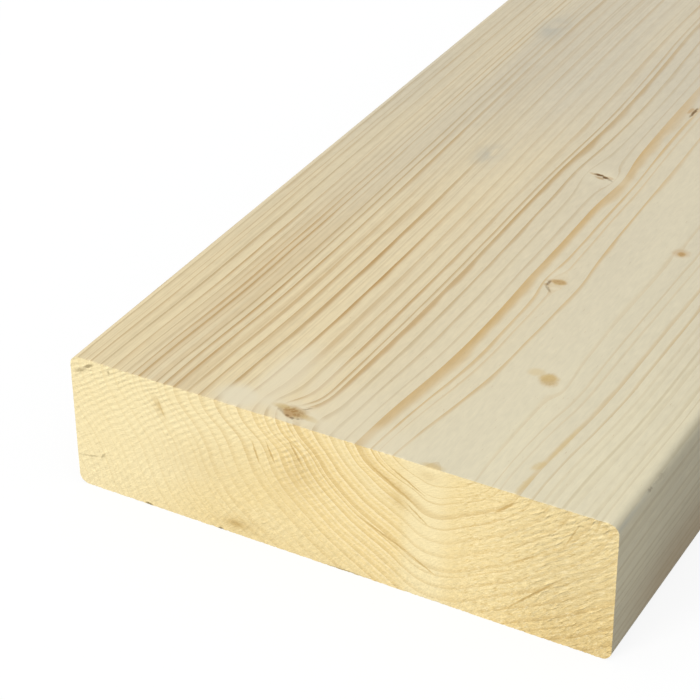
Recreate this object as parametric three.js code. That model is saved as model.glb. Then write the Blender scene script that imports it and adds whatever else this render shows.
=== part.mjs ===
// A length of planed softwood lumber: one solid piece of timber, rectangular in section. The planer rounds
// over all four long arrises, and a docking saw cross-cuts both ends square, so the end edges stay sharp.
//
// Units are millimetres and +Z is up. The width runs along X, the length along Y and the thickness along Z.
// The plank lies flat, with its origin at the centre of its underside.

import * as THREE from "three";

// The finished section, as it leaves the planer.
const WIDTH = 169;
const THICKNESS = 44;

// The stock length, from one docked end to the other.
const LENGTH = 2400;

// The round that the planer heads leave along each long arris.
const ARRIS_RADIUS = 3;

// Straight facets that stand for the quarter circle of one arris. An extrusion splits every arc of its
// outline into two facets for each of its curve segments.
const ARRIS_FACETS = 12;
const FACETS_PER_CURVE_SEGMENT = 2;

const QUARTER_TURN = Math.PI / 2;

// Pale, resinous spruce straight from the planer.
const PLANED_SPRUCE = new THREE.MeshStandardMaterial({
  name: "planed_spruce",
  color: 0xdccfae,
  roughness: 0.62,
  metalness: 0,
});

// The cross-section, seen along the length: a rectangle that stands on z = 0 with a quarter circle at each
// corner. It is drawn anticlockwise from the right-hand end of the underside.
function plankSection() {
  const left = ARRIS_RADIUS - WIDTH / 2;
  const right = WIDTH / 2 - ARRIS_RADIUS;
  const low = ARRIS_RADIUS;
  const high = THICKNESS - ARRIS_RADIUS;

  const arrisCentres = [
    [right, low],
    [right, high],
    [left, high],
    [left, low],
  ];

  const section = new THREE.Shape();
  arrisCentres.forEach(([x, z], corner) => {
    const startAngle = (corner - 1) * QUARTER_TURN;
    section.absarc(x, z, ARRIS_RADIUS, startAngle, startAngle + QUARTER_TURN, false);
  });
  section.closePath();
  return section;
}

// The whole plank: the section is run out over the length, then stood upright and centred about y = 0.
function makePlank() {
  const geometry = new THREE.ExtrudeGeometry(plankSection(), {
    depth: LENGTH,
    steps: 1,
    bevelEnabled: false,
    curveSegments: ARRIS_FACETS / FACETS_PER_CURVE_SEGMENT,
  });
  const plank = new THREE.Mesh(geometry, PLANED_SPRUCE);
  plank.name = "plank";
  plank.rotation.x = QUARTER_TURN;
  plank.position.y = LENGTH / 2;
  return plank;
}

const lumber = new THREE.Group();
lumber.name = "lumber";
lumber.add(makePlank());

export default lumber;
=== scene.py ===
"""Dresses the planed spruce plank around its CAD solid and sets it on a pale studio floor.

The wood is worked out in millimetres: x across the plank, along as the distance from the near
end, and z above the floor. Blender's own lengths are metres.
"""

import logging
import math
from dataclasses import dataclass, field
from enum import Enum

import bpy
import numpy as np
from mathutils import Matrix, Vector
from mathutils.geometry import delaunay_2d_cdt


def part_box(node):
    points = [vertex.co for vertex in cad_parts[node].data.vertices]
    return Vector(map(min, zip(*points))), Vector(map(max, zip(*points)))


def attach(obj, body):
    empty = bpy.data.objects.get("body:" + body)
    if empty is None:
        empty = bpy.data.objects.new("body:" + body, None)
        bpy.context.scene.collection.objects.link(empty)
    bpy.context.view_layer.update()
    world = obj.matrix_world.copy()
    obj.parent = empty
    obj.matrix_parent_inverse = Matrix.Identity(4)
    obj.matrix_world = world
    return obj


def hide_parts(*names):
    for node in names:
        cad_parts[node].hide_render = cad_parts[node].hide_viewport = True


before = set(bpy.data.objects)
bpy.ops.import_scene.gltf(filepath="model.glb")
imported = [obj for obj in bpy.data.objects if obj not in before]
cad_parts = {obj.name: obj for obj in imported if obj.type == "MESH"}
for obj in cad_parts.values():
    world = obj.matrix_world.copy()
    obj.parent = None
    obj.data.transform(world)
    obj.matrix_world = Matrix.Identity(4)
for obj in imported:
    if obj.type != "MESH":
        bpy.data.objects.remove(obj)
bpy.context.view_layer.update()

LOG = logging.getLogger("plank")
MM = 0.001
SEED = 41
NODE_NAME = "plank"
PIECE_NAME = "plank_timber"
BODY_NAME = "root"
BAKE_MAP = "OFBake"

Array = np.ndarray
Socket = bpy.types.NodeSocket
Colour = tuple[float, float, float, float]
Triple = tuple[float, float, float]
Pairs = tuple[tuple[float, float], ...]


def tint(red: float, green: float, blue: float) -> Colour:
    """Turns a display colour of 0 to 255 into the linear colour that a shader takes.

    Args:
        red: Display red.
        green: Display green.
        blue: Display blue.

    Returns:
        Linear red, green, blue and an alpha of 1.
    """
    linear = []
    for channel in (red, green, blue):
        share = channel / 255
        linear.append(share / 12.92 if share <= 0.04045 else ((share + 0.055) / 1.055) ** 2.4)
    return (*linear, 1.0)


def ease(values: Array, low: float, high: float) -> Array:
    """Climbs smoothly from 0 at low to 1 at high; low may be the larger one.

    Args:
        values: Numbers to place between the two ends.
        low: Where the climb starts.
        high: Where the climb ends.

    Returns:
        The eased share for each value.
    """
    share = np.clip((values - low) / (high - low), 0.0, 1.0)
    return share * share * (3 - 2 * share)


def smooth_path(at: Array, corners: Pairs) -> Array:
    """Reads a smooth curve that runs through a few points.

    Args:
        at: Places to read.
        corners: Points of the curve as place and value, in order.

    Returns:
        The curve's value at each place.
    """
    places, values = np.array(corners, float).T
    slopes = np.gradient(values, places)
    spot = np.clip(at, places[0], places[-1])
    low = np.clip(np.searchsorted(places, spot, side="right") - 1, 0, len(places) - 2)
    span = places[low + 1] - places[low]
    t = (spot - places[low]) / span
    return (
        values[low] * (1 + 2 * t) * (1 - t) ** 2
        + slopes[low] * span * t * (1 - t) ** 2
        + values[low + 1] * t**2 * (3 - 2 * t)
        + slopes[low + 1] * span * t**2 * (t - 1)
    )


def turned(across: Array, along: Array, degrees: float) -> tuple[Array, Array]:
    """Measures flat places along axes that are turned to the left.

    Args:
        across: Places along the first axis.
        along: Places along the second axis.
        degrees: How far the axes are turned.

    Returns:
        The places along the two turned axes.
    """
    cos, sin = math.cos(math.radians(degrees)), math.sin(math.radians(degrees))
    return across * cos + along * sin, along * cos - across * sin


def outward_line(azimuth: float, elevation: float) -> Vector:
    """Points away from the plank.

    Args:
        azimuth: Degrees to the right of straight out from the near end.
        elevation: Degrees above the floor.

    Returns:
        The direction, one long.
    """
    sideways, upward = math.radians(azimuth), math.radians(elevation)
    level = math.cos(upward)
    return Vector((math.sin(sideways) * level, -math.cos(sideways) * level, math.sin(upward)))


def add_object(name: str, data: bpy.types.ID) -> bpy.types.Object:
    """Adds an object to the scene.

    Args:
        name: What it is called.
        data: Its mesh, lamp or camera.

    Returns:
        The object.
    """
    made = bpy.data.objects.new(name, data)
    bpy.context.scene.collection.objects.link(made)
    return made


class Mottle:
    """Smooth, repeatable unevenness over a plane."""

    CELLS = 97

    def __init__(self, seed: int) -> None:
        """Draws the lattice of heights once."""
        self.heights = np.random.default_rng(seed).random((self.CELLS, self.CELLS))

    def at(self, first: Array, second: Array) -> Array:
        """Reads the unevenness at places given in lattice cells.

        Args:
            first: First coordinate, in cells.
            second: Second coordinate, in cells.

        Returns:
            Values from 0 to 1.
        """
        i, j = np.floor(first).astype(int), np.floor(second).astype(int)
        s, t = ease(first - i, 0, 1), ease(second - j, 0, 1)
        i0, i1 = i % self.CELLS, (i + 1) % self.CELLS
        j0, j1 = j % self.CELLS, (j + 1) % self.CELLS
        near = self.heights[i0, j0] * (1 - s) + self.heights[i1, j0] * s
        far = self.heights[i0, j1] * (1 - s) + self.heights[i1, j1] * s
        return near * (1 - t) + far * t


class Face(Enum):
    """The long faces, in the order met going round the section from the lower left arris."""

    LEFT = 0
    TOP = 1
    RIGHT = 2
    UNDERSIDE = 3


class Finish(Enum):
    """The plank's two finishes, in the order of its material slots."""

    PLANED = 0
    SAWN = 1


class Trace(Enum):
    """What colour a short streak takes, in the order that the kinds are drawn; a few streaks are painted
    highlight, shade and shadow.
    """

    HONEY = 0
    RESIN = 1
    BLOND = 2
    BARK = 3


@dataclass(frozen=True)
class Blank:
    """The planed stock's sizes, read from its CAD solid, in millimetres."""

    width: float
    thickness: float
    length: float
    arris: float
    near_end: float

    @classmethod
    def from_frame(cls) -> "Blank":
        """Measures the CAD node.

        Returns:
            The stock's sizes.
        """
        low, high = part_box(NODE_NAME)
        corners = np.array([vertex.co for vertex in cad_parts[NODE_NAME].data.vertices], float)
        on_top = corners[corners[:, 2] > high.z - 1e-6]
        arris = (high.x - on_top[:, 0].max()) / MM
        size = (high - low) / MM
        return cls(size.x, size.z, size.y, arris, low.y / MM)


@dataclass(frozen=True)
class Spots:
    """Places in the wood: across, from the near end, and above the floor."""

    x: Array
    along: Array
    z: Array


@dataclass(frozen=True)
class GrowthRing:
    """One year's growth: outer radius, width of its late wood, tone, and tone kept past the pith."""

    radius: float
    late: float
    tone: float
    past: float = 0.6


@dataclass(frozen=True)
class Knot:
    """A branch stub where it comes out on a long face.

    It drifts across as it goes in, and turn is in degrees. The grain steps aside for it by wrap
    and stretch, and is drawn along by lean. Tone, bark and halo are its look on the face.
    """

    face: Face
    across: float
    along: float
    half_across: float
    half_along: float
    depth: float = 44.0
    drift: float = 0.0
    turn: float = 0.0
    pinch: float = 0.0
    wrap: float = 1.1
    stretch: float = 1.7
    lean: float = 0.0
    dent: float = 0.0
    tone: float = 0.6
    bark: float = 0.0
    bark_turn: float = 0.0
    halo: float = 0.5

    @property
    def on_broad_face(self) -> bool:
        """Tells the top and the underside from the two edges."""
        return self.face in (Face.TOP, Face.UNDERSIDE)

    def measure(self, blank: Blank, spots: Spots) -> tuple[Array, Array, Array]:
        """Measures places against the branch, in units of its own half sizes.

        Args:
            blank: The stock that it grew in.
            spots: Places in the wood.

        Returns:
            Shares across and along the face, and distances in from the face.
        """
        half = blank.width / 2
        inward = {
            Face.LEFT: spots.x + half,
            Face.TOP: blank.thickness - spots.z,
            Face.RIGHT: half - spots.x,
            Face.UNDERSIDE: spots.z,
        }
        depth = inward[self.face]
        across = spots.x if self.on_broad_face else spots.z
        u, v = turned(across - self.across - self.drift * depth, spots.along - self.along, self.turn)
        return u / self.half_across, v / self.half_along, depth


@dataclass(frozen=True)
class Bow:
    """A stretch of trunk whose grain leans aside, and the width and length that it does so over."""

    across: float
    along: float
    half_width: float
    reach: float
    lean: float

    def shift(self, x: Array, along: Array) -> Array:
        """Says how far the grain stands aside.

        Args:
            x: Places across the plank.
            along: Places from the near end.

        Returns:
            Distances aside, in millimetres.
        """
        gone = np.clip(np.abs(along - self.along) / self.reach, 0.0, 1.0)
        wide = np.exp(-(((x - self.across) / self.half_width) ** 4))
        return self.lean * wide * np.cos(gone * math.pi / 2) ** 2


@dataclass(frozen=True)
class Mark:
    """A soft-edged blemish, or a patch of painted shade, on one face: its place, half sizes, strength and
    turn in degrees.
    """

    across: float
    along: float
    half_across: float
    half_along: float
    strength: float
    turn: float = 0.0

    def cover(self, across: Array, along: Array) -> Array:
        """Says how much of the mark each place takes.

        Args:
            across: Places across the face.
            along: Places along the face.

        Returns:
            Strength at each place, fading out from the middle.
        """
        u, v = turned(across - self.across, along - self.along, self.turn)
        return self.strength * np.exp(-((u / self.half_across) ** 2 + (v / self.half_along) ** 2))


@dataclass(frozen=True)
class Streak:
    """A short streak on a flat place: its middle, half sizes, turn in degrees and strength.

    It is whole out to one share of its half sizes, fades to another, and goes a little way in.
    """

    across: float
    up: float
    half_length: float
    half_width: float
    turn: float
    strength: float = 1.0

    WHOLE_SHARE = 0.45
    FADED_SHARE = 1.35
    HALF_DEPTH = 3.0


Streaks = dict[Trace, tuple[Streak, ...]]


@dataclass
class Section:
    """The rounded rectangle that the plank keeps along its length, unrolled as one girth."""

    blank: Blank
    facets: int = 8

    def __post_init__(self) -> None:
        """Sets out the four arrises and the four flats, each arris before its flat."""
        width, thickness, arris = self.blank.width, self.blank.thickness, self.blank.arris
        self.quarter = arris * math.pi / 2
        self.wide = width - 2 * arris
        tall = thickness - 2 * arris
        self.flats = dict(zip(Face, (tall, self.wide, tall, self.wide)))
        self.starts: dict[Face, float] = {}
        self.girth = 0.0
        for face, run in self.flats.items():
            self.starts[face] = self.girth + self.quarter
            self.girth = self.starts[face] + run
        left, right, low, high = arris - width / 2, width / 2 - arris, arris, thickness - arris
        self.pivots = dict(zip(Face, ((left, low), (left, high), (right, high), (right, low))))

    def outline(self, round_girth: Array) -> tuple[Array, Array]:
        """Rolls girth positions back up into the section.

        Args:
            round_girth: Distances round the girth.

        Returns:
            Points (x, z) on the section and their outward directions.
        """
        points = np.zeros((len(round_girth), 2))
        outward = np.zeros((len(round_girth), 2))
        for face, start in self.starts.items():
            heading = math.pi - face.value * math.pi / 2
            forward = (math.sin(heading), -math.cos(heading))
            here = round_girth >= start - self.quarter
            run = round_girth[here] - start
            angle = heading - np.minimum(run, 0) / self.blank.arris
            outward[here] = np.stack([np.cos(angle), np.sin(angle)], 1)
            on_arris = self.pivots[face] + self.blank.arris * outward[here]
            points[here] = on_arris + np.outer(np.maximum(run, 0), forward)
        return points, outward

    def girth_of(self, face: Face, across: float) -> float:
        """Places a point of a face on the unrolled girth.

        Args:
            face: The face.
            across: The point's x, or its z on the two edges.

        Returns:
            Its distance round the girth.
        """
        x, z = self.pivots[face]
        runs = dict(zip(Face, (across - z, across - x, z - across, x - across)))
        return self.starts[face] + runs[face]

    def gap(self, points: Array) -> Array:
        """Says how far points lie outside the section.

        Args:
            points: Points (x, z).

        Returns:
            Distances from the outline, below zero inside it.
        """
        half = np.array([self.blank.width, self.blank.thickness]) / 2
        inset = np.abs(points - [0, half[1]]) - half + self.blank.arris
        return np.hypot(*np.maximum(inset, 0).T) - self.blank.arris + np.minimum(inset.max(1), 0)


@dataclass(frozen=True)
class Trunk:
    """The tree the plank was sawn from: where its pith runs, its rings and its branches.

    The pith runs above the plank, at a height over its top that changes along the trunk; far to
    its sides only a share of that change is kept. The rings bulge by a share that goes with the
    direction from the pith, in degrees from straight down.
    """

    blank: Blank
    rings: tuple[GrowthRing, ...]
    knots: tuple[Knot, ...]
    bows: tuple[Bow, ...]
    pith_across: float = 35.5
    pith_rise: float = 13.0
    rise_width: float = 45.0
    rise_kept: float = 0.15
    taper: float = 1.5e-5
    bulge_depth: float = 10.0
    knot_reach: float = 5.0
    lean_reach: float = 2.0
    healing: float = 8.0
    stub_end: float = 6.0
    rise_path: Pairs = (
        (0, 10.2),
        (20, 11.8),
        (80, 13.4),
        (130, 12.7),
        (260, 12.0),
        (420, 11.2),
        (820, 14.6),
        (1300, 10.6),
        (1800, 14.8),
        (2400, 12.0),
    )
    bulge: Pairs = (
        (-95, 1.0),
        (-81, 0.995),
        (-70, 0.94),
        (-60, 0.95),
        (-42, 0.905),
        (-17, 0.895),
        (-4, 0.965),
        (4, 0.965),
        (20, 0.91),
        (42, 0.925),
        (66, 0.99),
        (95, 1.0),
    )

    def bend_round(self, knot: Knot, spots: Spots) -> Array:
        """Says how far the grain steps aside for a branch.

        Args:
            knot: The branch.
            spots: Places in the wood.

        Returns:
            Shift across the face, in millimetres, from each place to the growth found there.
        """
        u, v, depth = knot.measure(self.blank, spots)
        reach = np.hypot(u, v / knot.stretch)
        pull = np.minimum((knot.wrap / np.maximum(reach, 1e-6)) ** 2, 1.0)
        fade = np.exp(-((reach / self.knot_reach) ** 2)) * ease(depth, knot.depth + self.healing, knot.depth)
        drawn = knot.lean * np.exp(-((reach / self.lean_reach) ** 2))
        return (drawn - knot.half_across * u * pull) * fade

    def from_pith(self, spots: Spots) -> Array:
        """Measures places against the pith, with the grain bent as it grew.

        Args:
            spots: Places in the wood.

        Returns:
            Rows of distance across, distance below the pith, and place along the plank.
        """
        side, height = spots.x.copy(), spots.z.copy()
        for knot in self.knots:
            bent = side if knot.on_broad_face else height
            bent += self.bend_round(knot, spots)
        side = side - sum(bow.shift(side, spots.along) for bow in self.bows)
        dx = side - self.pith_across
        above = np.exp(-((dx / self.rise_width) ** 2))
        change = smooth_path(spots.along, self.rise_path) - self.pith_rise
        rise = self.pith_rise + change * (self.rise_kept + (1 - self.rise_kept) * above)
        dz = self.blank.thickness + rise - height
        bulge = smooth_path(np.degrees(np.arctan2(dx, dz)), self.bulge)
        inside = ease(self.blank.thickness - spots.z, 0, self.bulge_depth)
        girth = 1 / (1 + (bulge - 1) * inside) * (1 + self.taper * spots.along)
        return np.stack([dx * girth, dz * girth, spots.along], 1)

    def nearest_knot(self, spots: Spots) -> tuple[Array, Array]:
        """Finds the branch that each place belongs to.

        Args:
            spots: Places in the wood.

        Returns:
            Reach from its middle, 1 at its edge, and rows of its tone, bark and halo.
        """
        nearest = np.full(len(spots.x), self.knot_reach)
        look = np.zeros((len(spots.x), 3))
        for knot in self.knots:
            u, v, depth = knot.measure(self.blank, spots)
            pinched = v * (1 + knot.pinch * np.minimum(u * u, 2.0))
            past_stub = ease(depth, knot.depth, knot.depth + self.stub_end)
            reach = np.hypot(u, pinched) + self.knot_reach * past_stub
            closer = reach < nearest
            turn = np.arctan2(v, u) - math.radians(knot.bark_turn)
            bark = knot.bark * np.clip(0.35 + 0.65 * np.cos(turn), 0, 1)
            nearest[closer] = reach[closer]
            look[closer] = np.stack(np.broadcast_arrays(knot.tone, bark, knot.halo), 1)[closer]
        return nearest, look

    def dents(self, spots: Spots) -> Array:
        """Says how deep the planer left each place in or round a branch.

        Args:
            spots: Places in the wood.

        Returns:
            Depths in millimetres.
        """
        deep = np.zeros(len(spots.x))
        for knot in self.knots:
            u, v, depth = knot.measure(self.blank, spots)
            deep += knot.dent * np.exp(-(u**2 + (2 * v) ** 2)) * (depth < 1.0)
        return deep


@dataclass(frozen=True)
class SawnEnd:
    """The crosscut saw's work on one end: the arcs its blade left, torn grain and stains.

    The step is how far apart the end's points are. The map start is where the end begins on the
    bake map, as a share of its width.
    """

    near: bool
    blank: Blank
    step: float
    map_start: float
    seed: int
    stains: tuple[Mark, ...]
    blade_radius: float = 190.0
    arbor_height: float = -120.0
    feed: float = 2.94
    smooth_middle: float = 31.5
    smooth_half: float = 6.0
    groove_depth: float = 0.09
    flake_depth: float = 0.12
    flake_length: float = 0.45
    flake_height: float = 4.0

    def turns(self, x: Array, z: Array) -> Array:
        """Counts the blade's arcs up to each place, a whole number on each crest.

        Args:
            x: Places across.
            z: Heights.

        Returns:
            Arc counts.
        """
        mottle = Mottle(self.seed)
        wander = 0.5 * mottle.at(x / 11 + 20, z / 9 + 20) + 0.4 * mottle.at(x / 4 + 60, z / 3 + 60)
        arc = np.sqrt(self.blade_radius**2 - (z - self.arbor_height) ** 2)
        return (x + arc) / self.feed + wander

    def ridges(self, x: Array, z: Array) -> Array:
        """Says how clearly the blade's arcs stand at each place.

        Args:
            x: Places across.
            z: Heights.

        Returns:
            Strength, 1 for a plain ridge.
        """
        left = ease(x, 16, -8) * (0.4 + 0.6 * ease(z, 16, 31)) * (1 - 0.15 * ease(x, -64, -46))
        right = ease(x, 38, 68) * (1.0 + 0.3 * ease(z, 20, 34))
        patchy = 0.55 + 0.9 * (Mottle(self.seed + 1).at(x / 13 + 40, z / 10 + 40) - 0.3)
        return np.clip((left + right) * patchy, 0, 1.6)

    def torn(self, x: Array) -> Array:
        """Says how badly the saw tore the grain, which it left clean in a band under the pith.

        Args:
            x: Places across.

        Returns:
            Strength from 0 to 1.
        """
        left = 0.3 * ease(x, -60, -20) + 0.12
        smooth = np.exp(-(((x - self.smooth_middle) / self.smooth_half) ** 4))
        return np.maximum(ease(x, 33, 43), left) * (1 - smooth)

    def relief(self, x: Array, z: Array) -> Array:
        """Measures the sawn surface's depth below the end plane.

        Args:
            x: Places across.
            z: Heights.

        Returns:
            Depths in millimetres, none below zero.
        """
        turns = self.turns(x, z)
        groove = 0.5 - 0.5 * np.cos(2 * math.pi * turns)
        flakes = Mottle(self.seed + 2).at(turns / self.flake_length, z / self.flake_height + 40)
        return self.groove_depth * groove * self.ridges(x, z) + self.flake_depth * flakes * self.torn(x)

    def marks(self, x: Array, z: Array) -> tuple[Array, Array]:
        """Gathers what the finish reads on this end.

        Args:
            x: Places across.
            z: Heights.

        Returns:
            Rows of turns, ridges and tears, and the strength of the brown stains.
        """
        saw = np.stack([self.turns(x, z), self.ridges(x, z), self.torn(x)], 1)
        return saw, sum(stain.cover(x, z) for stain in self.stains)


@dataclass
class Skin:
    """Gathers the plank's surface: points, triangles, bake map corners and finishes."""

    points: list[Array] = field(default_factory=list)
    triangles: list[Array] = field(default_factory=list)
    corners: list[Array] = field(default_factory=list)
    finishes: list[Array] = field(default_factory=list)

    def add_points(self, points: Array) -> Array:
        """Adds points.

        Args:
            points: Their places.

        Returns:
            Their numbers.
        """
        first = sum(map(len, self.points))
        self.points.append(points)
        return np.arange(first, first + len(points))

    def add_faces(self, numbers: Array, triangles: Array, flat: Array, finish: Finish) -> None:
        """Adds triangles.

        Args:
            numbers: Point number of each flat place.
            triangles: Triangles as flat places.
            flat: Bake map place of each flat place.
            finish: What the triangles are finished with.
        """
        self.triangles.append(numbers[triangles])
        self.corners.append(flat[triangles].reshape(-1, 2))
        self.finishes.append(np.full(len(triangles), finish.value))


def cut_triangles(places: Array, fences: list[tuple[int, int]], border: list[int]) -> Array:
    """Joins flat places into triangles.

    Args:
        places: Flat places, none of them twice.
        fences: Pairs of places that an edge has to join.
        border: Places round the outside, in order.

    Returns:
        Triangles as rows of three places, turning left.
    """
    inputs = [Vector(place) for place in places.tolist()]
    made, _, faces, origins, _, _ = delaunay_2d_cdt(inputs, fences, [border], 1, 1e-7)
    if len(made) != len(places):
        raise ValueError("two places of the skin fall together")
    source = np.array([origin[0] for origin in origins])
    return source[np.array(faces)]


@dataclass(frozen=True)
class PlankSkin:
    """Lays out the plank's surface, finest where its end grain and its knots are.

    Steps and lengths are in millimetres, each pair of steps for the close length by the near end
    and for the rest, and the pairs across in the order of the faces. A patch is the rings of
    points round a branch, in units of its half sizes: the first has so many points and each
    further one some more. The rim gap is a share of an end's step. The map's margin, shares and
    end scale are in units of the bake map's side.
    """

    trunk: Trunk
    section: Section
    near_step: float = 0.5
    far_step: float = 0.95
    grading: float = 0.16
    close_length: float = 290.0
    easing_length: float = 140.0
    steps_along: tuple[float, float] = (4.0, 13.0)
    steps_across: Pairs = ((3.4, 4.0), (2.4, 3.4), (3.0, 4.0), (5.0, 5.5))
    patch_rings: tuple[float, ...] = (0.25, 0.5, 0.75, 1.0, 1.25, 1.6, 2.1, 2.7, 3.4)
    patch_reach: float = 3.6
    patch_points: int = 10
    patch_more: int = 2
    rim_gap: float = 0.45
    clearance: float = 0.55
    map_margin: float = 0.004
    wrap_share: float = 0.86
    close_share: float = 0.36
    end_scale: float = 0.0029

    @property
    def length(self) -> float:
        """The plank's length."""
        return self.trunk.blank.length

    def end_step(self, along: float) -> float:
        """Says how far apart points may be for the sake of the nearer end.

        Args:
            along: Where the row is.

        Returns:
            The largest step.
        """
        from_near = self.near_step + self.grading * along
        from_far = self.far_step + self.grading * (self.length - along)
        return min(from_near, from_far)

    def rows(self) -> Array:
        """Places the rows along the plank, close together at both ends.

        Returns:
            Row places from 0 to the plank's length.
        """
        places = [0.0]
        easing = (self.close_length, self.close_length + self.easing_length)
        while places[-1] < self.length:
            along = places[-1]
            step = min(self.end_step(along), float(np.interp(along, easing, self.steps_along)))
            places.append(along + step)
        return np.array(places) * self.length / places[-1]

    def flat_columns(self, face: Face, along: float) -> Array:
        """Places one row's points across a flat, without the two lines where it meets an arris.

        Args:
            face: The flat.
            along: Where the row is.

        Returns:
            Distances round the girth.
        """
        close, far = self.steps_across[face.value]
        step = min(self.end_step(along), close if along < self.close_length else far)
        start, run = self.section.starts[face], self.section.flats[face]
        margin = min(self.near_step, step)
        pieces = max(1, round((run - 2 * margin) / step))
        return start + np.linspace(margin, run - margin, pieces + 1)

    def row_points(self, along: float) -> Array:
        """Places one row's points across the four flats.

        Args:
            along: Where the row is.

        Returns:
            Flat places as girth and along.
        """
        columns = np.concatenate([self.flat_columns(face, along) for face in Face])
        return np.stack([columns, np.full(len(columns), along)], 1)

    def knot_spots(self) -> list[tuple[Array, Array]]:
        """Finds where each branch shows, on its own face and on the one opposite.

        Returns:
            Flat place and half sizes for each showing.
        """
        through = self.trunk.blank.thickness
        opposite = {Face.TOP: Face.UNDERSIDE, Face.UNDERSIDE: Face.TOP}
        spots = []
        for knot in self.trunk.knots:
            half = np.array([knot.half_across, knot.half_along])
            spots.append((np.array([self.section.girth_of(knot.face, knot.across), knot.along]), half))
            across = knot.across + knot.drift * through
            if knot.on_broad_face and knot.depth >= through and abs(across) < self.section.wide / 2:
                girth = self.section.girth_of(opposite[knot.face], across)
                spots.append((np.array([girth, knot.along]), half))
        return spots

    def patch(self, centre: Array, half: Array) -> Array:
        """Rings of points that follow a branch's outline.

        Args:
            centre: The branch's flat place.
            half: Its half sizes.

        Returns:
            Flat places, the middle first.
        """
        places = [centre]
        for number, reach in enumerate(self.patch_rings):
            count = self.patch_points + self.patch_more * number
            for turn in range(count):
                angle = 2 * math.pi * (turn + 0.5 * (number % 2)) / count
                places.append(centre + reach * half * (math.cos(angle), math.sin(angle)))
        return np.array(places)

    def clear_of(self, places: Array, centre: Array, half: Array) -> Array:
        """Leaves out the places that a branch's rings of points take over."""
        return places[np.hypot(*((places - centre) / half).T) > self.patch_reach]

    def flat_points(self) -> Array:
        """Points on the four flats: the rows, opened up for the rings round each branch.

        Returns:
            Flat places as girth and along.
        """
        places = np.concatenate([self.row_points(along) for along in self.rows()[1:-1]])
        patches = np.zeros((0, 2))
        for centre, half in self.knot_spots():
            places = self.clear_of(places, centre, half)
            patches = np.concatenate([self.clear_of(patches, centre, half), self.patch(centre, half)])
        girth, along = patches.T
        inside = np.zeros(len(patches), bool)
        for face, start in self.section.starts.items():
            run = self.section.flats[face]
            inside |= (girth > start + self.clearance) & (girth < start + run - self.clearance)
        inside &= (along > self.clearance) & (along < self.length - self.clearance)
        return np.concatenate([places, patches[inside]])

    def long_lines(self) -> Array:
        """Places the lines that run the plank's whole length: the arrises' facets and the seam.

        Returns:
            Distances round the girth.
        """
        quarter, facets = self.section.quarter, self.section.facets
        lines = [self.section.girth]
        for start in self.section.starts.values():
            lines.extend(start - quarter + quarter * np.arange(facets + 1) / facets)
        return np.unique(np.round(lines, 9))

    def unroll(self, places: Array) -> Array:
        """Lays the wrap out on the bake map, with the most room for the wood near the near end.

        Args:
            places: Flat places as girth and along.

        Returns:
            Places on the map.
        """
        stretches = (0, self.close_length, self.length)
        along = np.interp(places[:, 1], stretches, (0, self.close_share, 1))
        room = np.array([1.0, self.wrap_share]) - 2 * self.map_margin
        return self.map_margin + room * np.stack([places[:, 0] / self.section.girth, along], 1)

    def wrap(self, skin: Skin) -> list[Array]:
        """Covers the four faces and four arrises.

        Args:
            skin: Where the surface is gathered.

        Returns:
            Point numbers round the near end and round the far end, in girth order.
        """
        rows = self.rows()
        count = len(rows)
        grid = np.array([(column, along) for column in self.long_lines() for along in rows])
        fences = [(place, place + 1) for place in range(len(grid)) if (place + 1) % count]
        rims = [self.row_points(along) for along in rows[[0, -1]]]
        places = np.concatenate([grid, *rims, self.flat_points()])
        ends = []
        for along in rows[[0, -1]]:
            on_rim = np.flatnonzero(places[:, 1] == along)
            ends.append(on_rim[np.argsort(places[on_rim, 0])])
        seam_low = np.arange(count)
        seam_high = np.arange(len(grid) - count, len(grid))
        border = [*ends[0], *seam_high[1:-1], *ends[1][::-1], *seam_low[::-1][1:-1]]
        triangles = cut_triangles(places, fences, [int(place) for place in border])
        outline, outward = self.section.outline(places[:, 0])
        solid = np.stack([outline[:, 0], places[:, 1], outline[:, 1]], 1)
        solid[:, [0, 2]] -= self.trunk.dents(Spots(*solid.T))[:, None] * outward
        numbers = np.full(len(places), -1)
        kept = np.setdiff1d(np.arange(len(places)), seam_high)
        numbers[kept] = skin.add_points(solid[kept])
        numbers[seam_high] = numbers[seam_low]
        skin.add_faces(numbers, triangles, self.unroll(places), Finish.PLANED)
        return [numbers[end[:-1]] for end in ends]

    def end_face(self, skin: Skin, rim: Array, end: SawnEnd) -> None:
        """Covers one end with sawn relief.

        Args:
            skin: Where the surface is gathered.
            rim: Point numbers round that end, in girth order.
            end: The saw's work on it.
        """
        half, step = end.blank.width / 2, end.step
        across = np.arange(-half + step, half - step / 2, step)
        up = np.arange(step, end.blank.thickness - step / 2, step)
        grid = np.stack(np.meshgrid(across, up), -1).reshape(-1, 2)
        grid = grid[self.section.gap(grid) < -self.rim_gap * step]
        outline = np.concatenate(skin.points)[rim][:, [0, 2]]
        places = np.concatenate([outline, grid])
        triangles = cut_triangles(places, [], list(range(len(rim)))[::-1])
        deep = end.relief(*grid.T)
        along = deep if end.near else self.length - deep
        inner = skin.add_points(np.stack([grid[:, 0], along, grid[:, 1]], 1))
        facing_out = triangles if end.near else triangles[:, ::-1]
        map_corner = np.array([end.map_start, self.wrap_share + self.map_margin])
        flat = map_corner + (places + [half, 0]) * self.end_scale
        skin.add_faces(np.concatenate([rim, inner]), facing_out, flat, Finish.SAWN)


@dataclass(frozen=True)
class Pattern:
    """A soft pattern: the size of its cells along each axis, a shift, its detail and roughness."""

    cells: Triple
    shift: float = 0.0
    detail: float = 2.0
    rough: float = 0.5


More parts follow.
